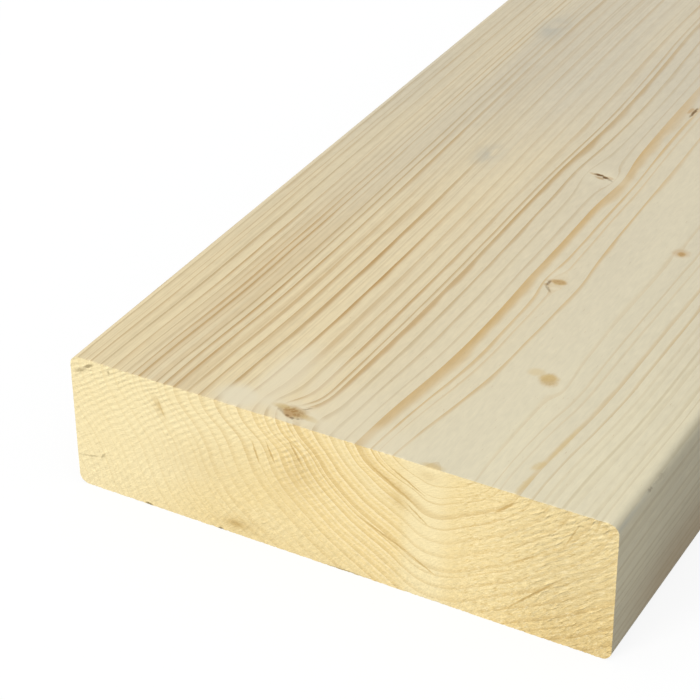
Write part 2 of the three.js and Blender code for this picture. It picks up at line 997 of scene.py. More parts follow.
class Reading:
    """A number that a finish works out at every point, added and multiplied like any other."""

    def __init__(self, bench: "Bench", socket: Socket) -> None:
        """Keeps the socket that gives the number, and the bench that it lies on."""
        self.bench = bench
        self.socket = socket

    def __add__(self, other: "Number") -> "Reading":
        """Adds."""
        return self.bench.math("ADD", self, other)

    def __sub__(self, other: "Number") -> "Reading":
        """Takes away."""
        return self.bench.math("SUBTRACT", self, other)

    def __rsub__(self, other: float) -> "Reading":
        """Is taken away from a plain number."""
        return self.bench.math("SUBTRACT", other, self)

    def __mul__(self, other: "Number") -> "Reading":
        """Multiplies."""
        return self.bench.math("MULTIPLY", self, other)

    def __truediv__(self, other: "Number") -> "Reading":
        """Divides."""
        return self.bench.math("DIVIDE", self, other)

    def __pow__(self, other: float) -> "Reading":
        """Raises to a power."""
        return self.bench.math("POWER", self, other)

    def __abs__(self) -> "Reading":
        """Drops the sign."""
        return self.bench.math("ABSOLUTE", self)

    __radd__ = __add__
    __rmul__ = __mul__

    def at_least(self, other: "Number") -> "Reading":
        """Takes the larger of two."""
        return self.bench.math("MAXIMUM", self, other)

    def at_most(self, other: "Number") -> "Reading":
        """Takes the smaller of two."""
        return self.bench.math("MINIMUM", self, other)

    def climb(self, low: float, high: float, to: float = 1.0) -> "Reading":
        """Climbs smoothly from 0 where this is low to another number where it is high.

        Args:
            low: Where the climb starts; it may be the larger end.
            high: Where the climb ends.
            to: The number reached.

        Returns:
            The climbing number.
        """
        inputs = {"Value": self, "From Min": low, "From Max": high, "To Min": 0.0, "To Max": to}
        if low > high:
            inputs.update({"From Min": high, "From Max": low, "To Min": to, "To Max": 0.0})
        made = self.bench.node("ShaderNodeMapRange", inputs, interpolation_type="SMOOTHSTEP")
        return Reading(self.bench, made.outputs[0])


Number = float | Reading


class Bench:
    """Lays the nodes of one finish, or of the light all round."""

    def __init__(self, owner: bpy.types.Material | bpy.types.World) -> None:
        """Clears the owner's nodes.

        Args:
            owner: The material or the world that the nodes belong to.
        """
        owner.use_nodes = True
        self.owner = owner
        self.tree = owner.node_tree
        self.tree.nodes.clear()

    def node(self, kind: str, inputs: dict[str | int, object], **settings: object) -> bpy.types.Node:
        """Adds a node.

        Args:
            kind: Blender's name for the node type.
            inputs: Values, readings or sockets by input name or number.
            settings: The node's own options.

        Returns:
            The node.
        """
        made = self.tree.nodes.new(kind)
        for name, value in settings.items():
            setattr(made, name, value)
        for key, value in inputs.items():
            source = value.socket if isinstance(value, Reading) else value
            if isinstance(source, Socket):
                self.tree.links.new(source, made.inputs[key])
            else:
                made.inputs[key].default_value = source
        return made

    def math(self, operation: str, *values: Number) -> Reading:
        """Works out one sum, as Blender's Math node names it."""
        made = self.node("ShaderNodeMath", dict(enumerate(values)), operation=operation)
        return Reading(self, made.outputs[0])

    def vector(self, operation: str, *values: Socket | Triple) -> Socket:
        """Works out one sum of places, as Blender's Vector Math node names it."""
        return self.node("ShaderNodeVectorMath", dict(enumerate(values)), operation=operation).outputs[0]

    def scaled(self, vector: Socket, share: Number) -> Socket:
        """Makes a place longer, or a colour lighter, by a share."""
        return self.node("ShaderNodeVectorMath", {0: vector, "Scale": share}, operation="SCALE").outputs[0]

    def join(self, first: Number, second: Number, third: Number = 0.0) -> Socket:
        """Makes one place out of three numbers."""
        return self.node("ShaderNodeCombineXYZ", {0: first, 1: second, 2: third}).outputs[0]

    def parts(self, vector: Socket) -> list[Reading]:
        """Splits a place in three."""
        return [Reading(self, part) for part in self.node("ShaderNodeSeparateXYZ", {0: vector}).outputs]

    def blend(self, share: Number, first: Colour | Socket, second: Colour | Socket) -> Socket:
        """Mixes two colours."""
        return self.node("ShaderNodeMix", {0: share, 6: first, 7: second}, data_type="RGBA").outputs[2]

    def noise(self, pattern: Pattern, place: Socket) -> Reading:
        """Reads a soft pattern.

        Args:
            pattern: The pattern.
            place: Where to read it, in millimetres.

        Returns:
            Its height, centred on one half.
        """
        per_cell = tuple(1 / cell for cell in pattern.cells)
        in_cells = self.vector("MULTIPLY_ADD", place, per_cell, (pattern.shift,) * 3)
        inputs = {"Vector": in_cells, "Scale": 1.0, "Detail": pattern.detail, "Roughness": pattern.rough}
        return Reading(self, self.node("ShaderNodeTexNoise", inputs).outputs[0])

    def swing(self, pattern: Pattern, place: Socket, reach: float) -> Reading:
        """Swings evenly either side of zero, by about a reach, as a soft pattern does."""
        return (self.noise(pattern, place) - 0.5) * (2 * reach)

    def ruffled(self, place: Socket, cell: float, reach: float) -> Socket:
        """Shakes a place about, so that what is drawn there has a ragged edge.

        Args:
            place: Place in millimetres.
            cell: Size of the raggedness.
            reach: How far it strays.

        Returns:
            The shaken place.
        """
        wild = self.node("ShaderNodeTexNoise", {"Vector": place, "Scale": 1 / cell, "Detail": 2.0}).outputs[1]
        step = self.vector("MULTIPLY_ADD", wild, (2 * reach,) * 3, (-reach,) * 3)
        return self.vector("ADD", place, step)

    def draw(self, flat: Socket, streaks: tuple[Streak, ...]) -> Reading:
        """Draws short streaks of one kind.

        Args:
            flat: Place on the flat in millimetres, with the distance off it last.
            streaks: The streaks, at least one.

        Returns:
            How strongly each point is covered.
        """
        covers = []
        for streak in streaks:
            inputs = {
                "Vector": flat,
                "Location": (streak.across, streak.up, 0.0),
                "Rotation": (0.0, 0.0, math.radians(streak.turn)),
                "Scale": (streak.half_length, streak.half_width, streak.HALF_DEPTH),
            }
            own = self.node("ShaderNodeMapping", inputs, vector_type="TEXTURE").outputs[0]
            gone = self.node("ShaderNodeVectorMath", {0: own}, operation="LENGTH").outputs[1]
            covers.append(Reading(self, gone).climb(streak.FADED_SHARE, streak.WHOLE_SHARE, streak.strength))
        strongest = covers[0]
        for cover in covers[1:]:
            strongest = strongest.at_least(cover)
        return strongest

    def carried(self, name: str) -> Reading:
        """Reads a number that the mesh carries."""
        made = self.node("ShaderNodeAttribute", {}, attribute_name=name)
        return Reading(self, made.outputs["Fac"])

    def carried_row(self, name: str) -> list[Reading]:
        """Reads three numbers that the mesh carries."""
        made = self.node("ShaderNodeAttribute", {}, attribute_name=name)
        return self.parts(made.outputs["Vector"])

    def curve(self, value: Reading, corners: list[tuple[float, float]]) -> Reading:
        """Reads a line drawn straight from corner to corner, all between 0 and 1.

        Args:
            value: Where to read.
            corners: The line's corners.

        Returns:
            The line's height.
        """
        made = self.node("ShaderNodeFloatCurve", {1: value})
        line = made.mapping.curves[0]
        for spare in range(len(corners) - len(line.points)):
            line.points.new(0.5 + 0.001 * spare, 0.5)
        for point, corner in zip(line.points, corners):
            point.location = corner
            point.handle_type = "VECTOR"
        made.mapping.update()
        return Reading(self, made.outputs[0])

    def seen(self) -> Reading:
        """Tells the light that goes to the eye, straight or by way of a mirror or glass.

        Returns:
            1 for such light, and 0 for light that falls on something.
        """
        path = self.node("ShaderNodeLightPath", {}).outputs
        names = ("Is Camera Ray", "Is Glossy Ray", "Is Transmission Ray")
        straight, mirrored, through = (Reading(self, path[name]) for name in names)
        return straight.at_least(mirrored).at_least(through)

    def surface(self, colour: Socket, roughness: Reading, height: Reading, gloss: float) -> None:
        """Ends the finish in a shader with bump.

        Args:
            colour: Base colour.
            roughness: Roughness.
            height: Relief in millimetres.
            gloss: Specular level.
        """
        bump = self.node("ShaderNodeBump", {"Height": height, "Distance": MM, "Strength": 1.0})
        inputs = {
            "Base Color": colour,
            "Roughness": roughness,
            "Specular IOR Level": gloss,
            "Normal": bump.outputs[0],
        }
        shader = self.node("ShaderNodeBsdfPrincipled", inputs)
        self.node("ShaderNodeOutputMaterial", {0: shader.outputs[0]})


@dataclass(frozen=True)
class RingLines:
    """How the rings are drawn: how far they stray, and what their late wood loses past the pith.

    Waver is the straying over a hand's length, and fuzz over a few millimetres.
    """

    waver: float
    fuzz: float
    thinning: float


class RingPattern:
    """The growth rings at the point being shaded, counted out from the pith."""

    WAVER = Pattern((26, 130, 26))
    FUZZ = Pattern((3.5, 22, 3.5), 7.3)
    SWELL = Pattern((1, 38, 1), 5.0)
    FADE = Pattern((1, 55, 1))
    YEAR_SPACING = 7.3
    RAY_RADIUS = 60.0

    def __init__(self, bench: Bench, trunk: Trunk, place: Socket, lines: RingLines) -> None:
        """Turns distance from the pith into years, and finds the place within the year.

        Args:
            bench: The finish's nodes.
            trunk: The tree.
            place: Place on the plank in millimetres.
            lines: How the rings are drawn.
        """
        self.bench, self.trunk = bench, trunk
        self.aside, below, self.along = bench.carried_row("from_pith")
        straight = bench.math("SQRT", self.aside**2 + below**2)
        strayed = straight + bench.swing(self.WAVER, place, lines.waver)
        self.radius = strayed + bench.swing(self.FUZZ, place, lines.fuzz)
        edges = [0.0] + [ring.radius for ring in trunk.rings]
        count, reach = float(len(trunk.rings)), edges[-1]
        line = [(edge / reach, number / count) for number, edge in enumerate(edges)]
        years = bench.curve(self.radius / reach, line) * count
        year, phase = bench.math("FLOOR", years), bench.math("FRACT", years)
        self.year_place = (year + 0.5) / count
        self.year_run = bench.join(year * self.YEAR_SPACING, self.along)
        self.run = bench.join(self.radius, self.along)
        self.ray = bench.join(self.radius, bench.math("ARCTAN2", self.aside, below) * self.RAY_RADIUS)
        self.fresh = phase.climb(0.3, 0.08)
        self.check = abs(phase - 0.52).climb(0.12, 0.03)
        self.late = self.late_wood(phase, lines.thinning)
        self.tone = self.ring_tone()
        self.warmth = self.ring_warmth()

    def each_year(self, values: list[float]) -> Reading:
        """Reads a number that every ring has its own of.

        Args:
            values: The rings' numbers, from the pith out.

        Returns:
            The number of the ring at this point.
        """
        middles = [(number + 0.5) / len(values) for number in range(len(values))]
        return self.bench.curve(self.year_place, list(zip(middles, values)))

    def late_wood(self, phase: Reading, thinning: float) -> Reading:
        """Says how much late wood there is: none in the early wood, the most at the year's end.

        Args:
            phase: Place within the year, from 0 to 1.
            thinning: What the late wood loses past the pith.

        Returns:
            A share from 0 to 1.
        """
        rings = self.trunk.rings
        inner = [0.0] + [ring.radius for ring in rings]
        shares = [min(0.95, ring.late / (ring.radius - edge)) for ring, edge in zip(rings, inner)]
        widest = 1.0 - self.aside.climb(-12.0, 10.0, thinning)
        swell = self.bench.noise(self.SWELL, self.year_run).climb(0.36, 0.64, 0.6)
        pinched = self.radius.climb(30.0, 27.6) * self.along.climb(60.0, 5.0, 0.25)
        share = self.each_year(shares).at_most(widest) * (0.7 + swell) * (1.0 - pinched)
        gone = ((phase - (1.0 - share)) / share).at_least(0.0)
        ramped, filled = gone.climb(0.0, 0.95), gone.climb(0.0, 0.5)
        return ramped + (filled - ramped) * self.radius.climb(53.0, 47.0, 0.45)

    def ring_tone(self) -> Reading:
        """Says how dark this ring's late wood is, which fades in and out along the plank.

        Returns:
            A share from 0 to about 1.
        """
        rings = self.trunk.rings
        halved = self.each_year([ring.past / 2 for ring in rings])
        kept = (halved * 2.0 - 1.0) * self.aside.climb(-12.0, 10.0) + 1.0
        varied = 0.6 + self.bench.noise(self.FADE, self.year_run) * 0.8
        return self.each_year([ring.tone for ring in rings]) * kept * varied

    def ring_warmth(self) -> Reading:
        """Says how warm this ring's colour is: mostly with its tone, partly by chance.

        Returns:
            A share from 0 to 1.
        """
        rings = self.trunk.rings
        chances = np.random.default_rng(SEED + 3).random(len(rings)).tolist()
        return self.each_year([0.65 * ring.tone + 0.35 * chance for ring, chance in zip(rings, chances)])


class WoodBench(Bench):
    """A bench for wood, which knows the place on the plank and the growth rings there."""

    def __init__(self, name: str, trunk: Trunk, lines: RingLines) -> None:
        """Starts a finish.

        Args:
            name: What the finish is called.
            trunk: The tree whose rings show.
            lines: How the rings are drawn.
        """
        super().__init__(bpy.data.materials.new(name))
        coordinate = self.node("ShaderNodeTexCoord", {}).outputs["Object"]
        self.place = self.scaled(coordinate, 1 / MM)
        self.rings = RingPattern(self, trunk, self.place, lines)


@dataclass(frozen=True)
class PlanedSpruce:
    """The planed faces: pale early wood, tan late wood, fibre, knots and handling marks, with painted shade
    on the edges, on the near right arris and at one knot's slit, and a painted highlight there.

    The dim strips run along the plank: where beside the pith each starts and is whole, and how
    much darker the wood is from there on, or lighter if that is below zero.
    """

    lines: RingLines = RingLines(0.35, 0.14, 0.66)
    gloss: float = 0.35
    early: Colour = tint(234, 218, 181)
    golden: Colour = tint(236, 216, 173)
    pale: Colour = tint(232, 220, 187)
    dull: Colour = tint(209, 197, 172)
    late_warm: Colour = tint(188, 148, 87)
    late_cool: Colour = tint(177, 150, 101)
    late_soft: Colour = tint(203, 167, 105)
    late_grey: Colour = tint(162, 150, 104)
    late_gilt: Colour = tint(200, 158, 84)
    knot_pale: Colour = tint(208, 181, 128)
    knot_dark: Colour = tint(164, 121, 60)
    honey: Colour = tint(210, 178, 108)
    resin: Colour = tint(190, 154, 104)
    blond: Colour = tint(232, 219, 188)
    bark: Colour = tint(112, 80, 32)
    # Grey for grime, and for painted shade on the near right arris.
    grime_and_painted_shade: Colour = tint(178, 174, 160)
    cloud: Pattern = Pattern((30, 190, 30), 11.7)
    streak: Pattern = Pattern((4.5, 90, 4.5), 23.0)
    tan: Pattern = Pattern((3.6, 240, 1), 8.0, 1.0)
    canal: Pattern = Pattern((0.3, 2.6, 0.3), 31.0, 1.0)
    vein: Pattern = Pattern((0.9, 0.9, 0.9), 2.0, 3.0, 0.6)
    fibre: Pattern = Pattern((0.45, 26, 0.45), 3.1, 3.0, 0.6)
    ragged: Pattern = Pattern((1.7, 2.6, 1.7), 5.0)
    pinstripe: Pattern = Pattern((0.8, 130, 1), 4.0)
    dash: Pattern = Pattern((0.9, 5.0, 0.9), 27.0, 3.0)
    fleck: Pattern = Pattern((1.6, 4.0, 1.6), 35.0, 1.0)
    smear: Pattern = Pattern((5, 11, 5), 9.0, 4.0)
    ripple: Pattern = Pattern((14, 2.6, 14), 17.0, 1.0)
    dim_strips: tuple[Triple, ...] = (
        (22.0, 45.0, 0.035),
        (-62.0, -76.0, 0.022),
        (-86.0, -98.0, -0.022),
        (-98.0, -108.0, 0.033),
    )

    def early_wood(self, bench: WoodBench) -> Socket:
        """Colours early wood: golden left of the pith, pale by it, and duller farther along.

        Args:
            bench: The finish's nodes.

        Returns:
            The colour.
        """
        rings = bench.rings
        golden = rings.radius.climb(28.0, 48.0) * rings.aside.climb(0.0, -30.0)
        colour = bench.blend(golden, self.early, self.golden)
        heart = rings.radius.climb(22.0, 10.0).at_least(rings.aside.climb(-14.0, 6.0))
        colour = bench.blend(heart, colour, self.pale)
        clouded = bench.noise(self.cloud, bench.place).climb(0.35, 0.65, 0.3)
        colour = bench.blend(rings.along.climb(10.0, 270.0, 0.74) + clouded, colour, self.dull)
        streaky = bench.noise(self.tan, rings.run).climb(0.42, 0.62, 0.23)
        tanned = streaky * rings.aside.climb(-64.0, -80.0)
        fresh_cut = 1.0 - rings.along.climb(50.0, 170.0, 0.8)
        outermost = 1.0 - rings.aside.climb(-96.0, -108.0, 0.75)
        return bench.blend(tanned * fresh_cut * outermost, colour, self.late_warm)

    def late_wood(self, bench: WoodBench) -> Socket:
        """Colours late wood: softer and greyer past the pith, and gilded in one ring beside it.

        Args:
            bench: The finish's nodes.

        Returns:
            The colour.
        """
        rings = bench.rings
        warm = (rings.warmth + bench.noise(self.streak, bench.place)).climb(0.7, 1.3)
        colour = bench.blend(warm, self.late_cool, self.late_warm)
        colour = bench.blend(rings.aside.climb(-6.0, 8.0, 0.85), colour, self.late_soft)
        colour = bench.blend(rings.aside.climb(24.0, 36.0, 0.5), colour, self.late_grey)
        colour = bench.blend(rings.along.climb(60.0, 200.0, 0.2), colour, self.late_grey)
        gilt = rings.radius.climb(30.0, 27.6) * rings.aside.climb(6.0, -8.0)
        return bench.blend(gilt, colour, self.late_gilt)

    def darkness(self, bench: WoodBench, glow: Reading, stripes: Reading) -> Reading:
        """Says how much late wood shows.

        Args:
            bench: The finish's nodes.
            glow: How near a knot each point is.
            stripes: The fine stripes far left of the pith.

        Returns:
            A share from 0 to about 1.
        """
        rings = bench.rings
        patchy = bench.noise(self.streak, bench.place).climb(0.3, 0.62, 0.3)
        middle = rings.radius.climb(46.0, 56.0) - rings.radius.climb(78.0, 90.0, 0.6)
        faded = rings.along.climb(80.0, 160.0, 0.5) * middle
        contrast = 0.72 + patchy - faded - rings.aside.climb(-2.0, 8.0, 0.12)
        contrast = contrast * (1.0 - glow * 0.75)
        thinned = 1.02 - rings.aside.climb(22.0, 36.0) * rings.along.climb(85.0, 30.0, 0.3)
        receding = 1.0 - rings.along.climb(170.0, 250.0, 0.25)
        dark = rings.late * rings.tone * contrast * (thinned * receding)
        not_close_set = abs(rings.radius - 46.5).climb(3.0, 5.0)
        checked = rings.check * not_close_set * rings.aside.climb(24.0, 36.0, 0.3)
        return (dark.at_least(checked) + stripes * 0.32).at_least(0.0)

    def shade(self, bench: WoodBench, fibre: Reading, stripes: Reading, on_edge: Reading) -> Reading:
        """Says how light each point is, with fibre, dim strips, and painted shade on the two edges, darker
        towards the bottom and farther from the near end.

        Args:
            bench: The finish's nodes.
            fibre: The fine fibre.
            stripes: The fine stripes far left of the pith.
            on_edge: 1 on the plank's two edges.

        Returns:
            A share near 1.
        """
        rings, place = bench.rings, bench.place
        shade = 0.955 + fibre * 0.07
        shade = shade + bench.swing(self.dash, place, 0.075) + bench.swing(self.fleck, place, 0.04)
        shade = shade - stripes * 0.07
        for strip in self.dim_strips:
            shade = shade - rings.aside.climb(*strip)
        shade = shade - rings.aside.climb(0.0, 20.0) * rings.along.climb(0.0, 60.0, 0.022)
        # Painted shade: the edges darken towards the bottom and farther from the near end.
        low = bench.parts(place)[2].climb(30.0, 3.0)
        back = rings.along.climb(2.0, 42.0, 0.09)
        return shade - (low * 0.12 + back + low * back) * on_edge

    def stubs(self, bench: WoodBench, colour: Socket, edge: Reading) -> Socket:
        """Colours the branch stubs.

        Args:
            bench: The finish's nodes.
            colour: The wood round them.
            edge: Distance from the middle of the nearest stub, 1 at its edge.

        Returns:
            The colour.
        """
        tone, bark, _ = bench.carried_row("knot_look")
        veined = bench.noise(self.vein, bench.place).climb(0.35, 0.65, 0.55)
        heart = bench.blend(tone * (edge.climb(1.0, 0.3, 0.45) + veined), self.knot_pale, self.knot_dark)
        colour = bench.blend(edge.climb(1.3, 0.55) * tone.climb(0.0, 0.55), colour, heart)
        rim = edge.climb(0.7, 0.98) * edge.climb(1.3, 1.02)
        return bench.blend(rim * bark, colour, self.bark)

    def lay(self, trunk: Trunk, streaks: Streaks) -> bpy.types.Material:
        """Builds the finish.

        Args:
            trunk: The tree whose rings show.
            streaks: Short streaks on the top face.

        Returns:
            The material.
        """
        bench = WoodBench("planed_spruce", trunk, self.lines)
        rings, place = bench.rings, bench.place
        x, _, z = bench.parts(place)
        half = trunk.blank.width / 2
        on_edge = abs(x).climb(half - 2.0, half - 0.3)
        fibre = bench.noise(self.fibre, place)
        edge = bench.carried("knot_reach") + bench.swing(self.ragged, place, 0.28)
        glow = edge.climb(3.3, 1.0) * bench.carried_row("knot_look")[2]
        stripes = bench.swing(self.pinstripe, rings.run, 1.0) * rings.aside.climb(-20.0, -75.0)
        dark = self.darkness(bench, glow, stripes)

        colour = bench.blend(dark, self.early_wood(bench), self.late_wood(bench))
        colour = bench.blend(bench.noise(self.canal, place).climb(0.73, 0.8, 0.35), colour, self.resin)
        colour = bench.scaled(colour, self.shade(bench, fibre, stripes, on_edge))
        # Painted shade in resin brown, on the lower part of each edge and stronger farther from the near end.
        painted_shade_brown = z.climb(24.0, 3.0) * rings.along.climb(-10.0, 40.0, 0.35)
        colour = bench.blend(painted_shade_brown * on_edge, colour, self.resin)
        colour = bench.blend(glow * 0.8, colour, self.blond)
        colour = self.stubs(bench, colour, edge)

        corner = (0.0, trunk.blank.near_end, trunk.blank.thickness)
        flat = bench.ruffled(bench.vector("SUBTRACT", place, corner), 1.1, 0.45)
        covers = {trace: bench.draw(flat, streaks[trace]) for trace in Trace}
        for cover, paint in zip(covers.values(), (self.honey, self.resin, self.blond, self.bark)):
            colour = bench.blend(cover, colour, paint)
        smeared = bench.noise(self.smear, place).climb(0.25, 0.6)
        # Grime, and painted shade on the near right arris.
        colour = bench.blend(bench.carried("grime_and_painted_shade") * smeared, colour, self.grime_and_painted_shade)

        raised = dark * 0.018 + bench.swing(self.ripple, place, 0.012)
        height = fibre * 0.03 + raised - covers[Trace.BARK] * 0.004
        bench.surface(colour, 0.5 + fibre * 0.22 - dark * 0.06, height, self.gloss)
        return bench.owner


@dataclass(frozen=True)
class SawnEndGrain:
    """The sawn ends: kerf ridges and torn fibre, with painted light and shade on both, and rings seen end on.
    """

    lines: RingLines = RingLines(0.3, 0.25, 0.6)
    gloss: float = 0.25
    sapwood: Colour = tint(226, 211, 168)
    heartwood: Colour = tint(221, 201, 150)
    band: Colour = tint(221, 196, 138)
    late: Colour = tint(186, 156, 98)
    seam: Colour = tint(236, 221, 182)
    painted_fibre_highlight: Colour = tint(236, 221, 180)
    painted_fibre_shade: Colour = tint(190, 160, 98)
    stain: Colour = tint(172, 140, 78)
    # Dark brown for dirt, and for painted shadow along the end's bottom edge.
    dirt_and_painted_shadow: Colour = tint(110, 92, 54)
    cloud: Pattern = Pattern((16, 12, 50), 8.0)
    speckle: Pattern = Pattern((0.55, 0.45, 50), 4.0)
    crumb: Pattern = Pattern((0.26, 1.5, 1.0), 12.0)
    flake: Pattern = Pattern((0.32, 1.3, 1.0), 2.0, 3.0, 0.65)
    fibre: Pattern = Pattern((0.6, 3.4, 1.0), 16.0)
    scale: Pattern = Pattern((3.0, 2.2, 50), 14.0)
    slip: Pattern = Pattern((1.1, 6.0, 1.0), 26.0, 1.0)
    chop: Pattern = Pattern((0.75, 7.0, 1.0), 6.0)
    blotch: Pattern = Pattern((1.8, 1.5, 50), 21.0, 1.0)

    def wood(self, bench: WoodBench, flat: Socket) -> Socket:
        """Colours the rings and the bands between them.

        Args:
            bench: The finish's nodes.
            flat: Place on the end in millimetres: across, up, and distance from the near end.

        Returns:
            The colour.
        """
        rings = bench.rings
        x, z, _ = bench.parts(flat)
        right = rings.aside.climb(8.0, 30.0)
        clouded = bench.noise(self.cloud, flat).climb(0.4, 0.7, 0.3)
        sap = ((z * 1.1 - x).climb(38.0, 80.0, 0.9) + clouded) * (1.0 - right)
        colour = bench.blend(sap, self.heartwood, self.sapwood)
        under_pith = abs(rings.aside + 3.0).climb(10.0, 3.0, 0.8)
        colour = bench.blend(under_pith, colour, self.sapwood)
        banded = rings.radius.climb(74.0, 52.0, 0.6) * rings.aside.climb(-8.0, -16.0)
        colour = bench.blend(rings.warmth.climb(0.35, 0.6) * banded, colour, self.band)
        seam = rings.fresh.at_least(rings.check * 0.65) * (0.1 + banded * 0.7)
        colour = bench.blend(seam, colour, self.seam)
        corner = rings.radius.climb(52.0, 72.0) * right
        colour = bench.blend(corner * 0.85, colour, self.band)
        upper_left = z.climb(18.0, 34.0, 0.3) * rings.radius.climb(90.0, 76.0)
        upper_right = z.climb(12.0, 26.0, 0.55) * rings.aside.climb(12.0, 28.0)
        plain = upper_left + (0.26 + rings.aside.climb(-60.0, -8.0, 0.36)) - upper_right
        dark = (rings.tone * (0.7 - right * 0.3) + 0.1 + right * 0.5) * rings.late
        return bench.blend(dark * plain, colour, self.late)

    def crests(self, bench: WoodBench, flat: Socket, turns: Reading, ridges: Reading) -> Reading:
        """Says how high the blade's arcs stand, which slip from ray to ray past the pith.

        Args:
            bench: The finish's nodes.
            flat: Place on the end in millimetres.
            turns: The blade's arcs, counted.
            ridges: How clearly the arcs stand.

        Returns:
            Height either side of zero.
        """
        rings = bench.rings
        x, z, _ = bench.parts(flat)
        slipped = turns + bench.swing(self.slip, rings.ray, 0.55) * rings.aside.climb(6.0, 22.0)
        wave = bench.math("COSINE", slipped * (2 * math.pi))
        doubled = z.climb(27.0, 13.0, 0.5) * (1.0 + x.climb(55.0, 70.0))
        wave = wave + bench.math("COSINE", slipped * (4 * math.pi)) * doubled
        scaly = 0.2 + bench.noise(self.scale, flat).climb(0.36, 0.62, 1.3)
        chopped = 0.35 + bench.noise(self.chop, rings.ray).climb(0.4, 0.6) * 0.9
        return wave * ridges * scaly * (chopped * (1.0 - rings.late * 0.5))

    def lay(self, trunk: Trunk, streaks: Streaks) -> bpy.types.Material:
        """Builds the finish.

        Args:
            trunk: The tree whose rings show.
            streaks: Short streaks on the near end.

        Returns:
            The material.
        """
        bench = WoodBench("sawn_end_grain", trunk, self.lines)
        rings = bench.rings
        x, y, z = bench.parts(bench.place)
        flat = bench.join(x, z, y - trunk.blank.near_end)
        turns, ridges, torn = bench.carried_row("saw_marks")
        stroke = bench.join(turns, z)
        speckle = bench.swing(self.speckle, flat, 0.5)
        crumbs = bench.swing(self.crumb, stroke, 0.5)
        flecks = bench.noise(self.flake, stroke) * 0.62 + bench.noise(self.fibre, rings.ray) * 0.38
        crest = self.crests(bench, flat, turns, ridges)

        colour = self.wood(bench, flat)
        # Painted highlight on the torn fibre that stands highest, and painted shade on the lowest.
        colour = bench.blend(flecks.climb(0.52, 0.64, 0.55) * torn, colour, self.painted_fibre_highlight)
        colour = bench.blend(flecks.climb(0.48, 0.36, 0.5) * torn, colour, self.painted_fibre_shade)
        colour = bench.blend(bench.carried("stain"), colour, self.stain)
        ragged = bench.ruffled(flat, 1.0, 0.3)
        for trace, paint in ((Trace.RESIN, self.late), (Trace.BLOND, self.seam), (Trace.BARK, self.dirt_and_painted_shadow)):
            colour = bench.blend(bench.draw(ragged, streaks[trace]), colour, paint)

        coarse = 0.18 + z.climb(20.0, 3.0, 0.17) + rings.aside.climb(4.0, 14.0, 0.16)
        blotched = bench.swing(self.blotch, flat, 0.1) * z.climb(34.0, 10.0)
        # The end darkens towards the right and the bottom, in soft blotches, and more in its lower right.
        darker_right_and_low = rings.aside.climb(16.0, 40.0, 0.07) + z.climb(14.0, 2.0, 0.025) + blotched
        darker_lower_right = rings.aside.climb(24.0, 44.0) * z.climb(34.0, 22.0, 0.035)
        # crest * 0.06 paints light onto the saw's ridges and shade into their grooves.
        shade = crest * 0.06 + (1.0 - (darker_right_and_low + darker_lower_right)) + (speckle + crumbs) * coarse
        height = crest * 0.05 + speckle * 0.1 + crumbs * 0.1 + flecks * torn * 0.12
        bench.surface(bench.scaled(colour, shade), 0.8 + speckle * 0.15, height, self.gloss)
        return bench.owner


def hand_counted_rings() -> tuple[GrowthRing, ...]:
    """Lists the rings that show on the planed face, then fills the rest of the log.

    Returns:
        The rings from the pith out.
    """
    counted = [
        GrowthRing(10.6, 1.0, 0.35),
        GrowthRing(16.3, 1.1, 0.55, 0.5),
        GrowthRing(20.3, 0.9, 0.3, 1.2),
        GrowthRing(22.3, 1.0, 0.65, 0.4),
        GrowthRing(27.3, 4.3, 0.72, 0.74),
        GrowthRing(30.7, 1.0, 0.35, 1.7),
        GrowthRing(35.4, 1.2, 0.4, 0.5),
        GrowthRing(40.2, 1.5, 0.6, 0.4),
        GrowthRing(45.4, 3.1, 0.9, 0.5),
        GrowthRing(46.9, 0.8, 0.62),
        GrowthRing(50.8, 1.6, 0.72),
        GrowthRing(55.1, 1.7, 0.5),
        GrowthRing(59.7, 2.4, 0.42),
        GrowthRing(64.6, 2.0, 0.9),
        GrowthRing(67.8, 1.0, 0.4),
        GrowthRing(71.4, 2.2, 0.92),
        GrowthRing(76.4, 2.7, 0.62),
        GrowthRing(80.1, 1.7, 0.5),
        GrowthRing(84.7, 2.2, 0.95),
        GrowthRing(87.8, 1.5, 0.8),
        GrowthRing(90.0, 1.1, 0.7),
        GrowthRing(94.0, 1.0, 0.4),
        GrowthRing(96.0, 1.1, 0.8),
        GrowthRing(98.2, 1.1, 0.8),
        GrowthRing(100.3, 1.0, 0.5),
        GrowthRing(102.5, 1.0, 0.5),
        GrowthRing(105.1, 1.2, 0.66),
        GrowthRing(109.3, 1.6, 0.62),
        GrowthRing(113.2, 1.3, 0.6),
        GrowthRing(114.7, 0.7, 0.4),
        GrowthRing(117.7, 1.6, 0.5),
    ]
    log_radius, mean_width, spread = 152.0, 1.9, 0.5
    draw = np.random.default_rng(SEED)
    radius = counted[-1].radius
    while radius < log_radius:
        width = mean_width + draw.uniform(-spread, spread)
        radius += width
        counted.append(GrowthRing(radius, width * draw.uniform(0.35, 0.5), draw.uniform(0.5, 0.9)))
    return tuple(counted)


def whorl_knot(draw: np.random.Generator, face: Face, low: float, high: float, along: float) -> Knot:
    """Grows one branch of a whorl.

    Args:
        draw: Where its sizes are drawn from.
        face: The face that it comes out on.
        low: The least that it may lie across that face.
        high: The most that it may lie across that face.
        along: The whorl's place from the near end.

    Returns:
        The knot.
    """
    size = draw.uniform(3.0, 9.0)
    return Knot(
        face,
        draw.uniform(low, high),
        along + draw.uniform(-70, 70),
        size,
        size * draw.uniform(0.7, 1.0),
        depth=draw.uniform(15, 36),
        tone=draw.uniform(0.4, 1.0),
        bark=draw.uniform(0.0, 0.7),
        bark_turn=draw.uniform(0, 360),
        halo=draw.uniform(0.2, 0.6),
    )


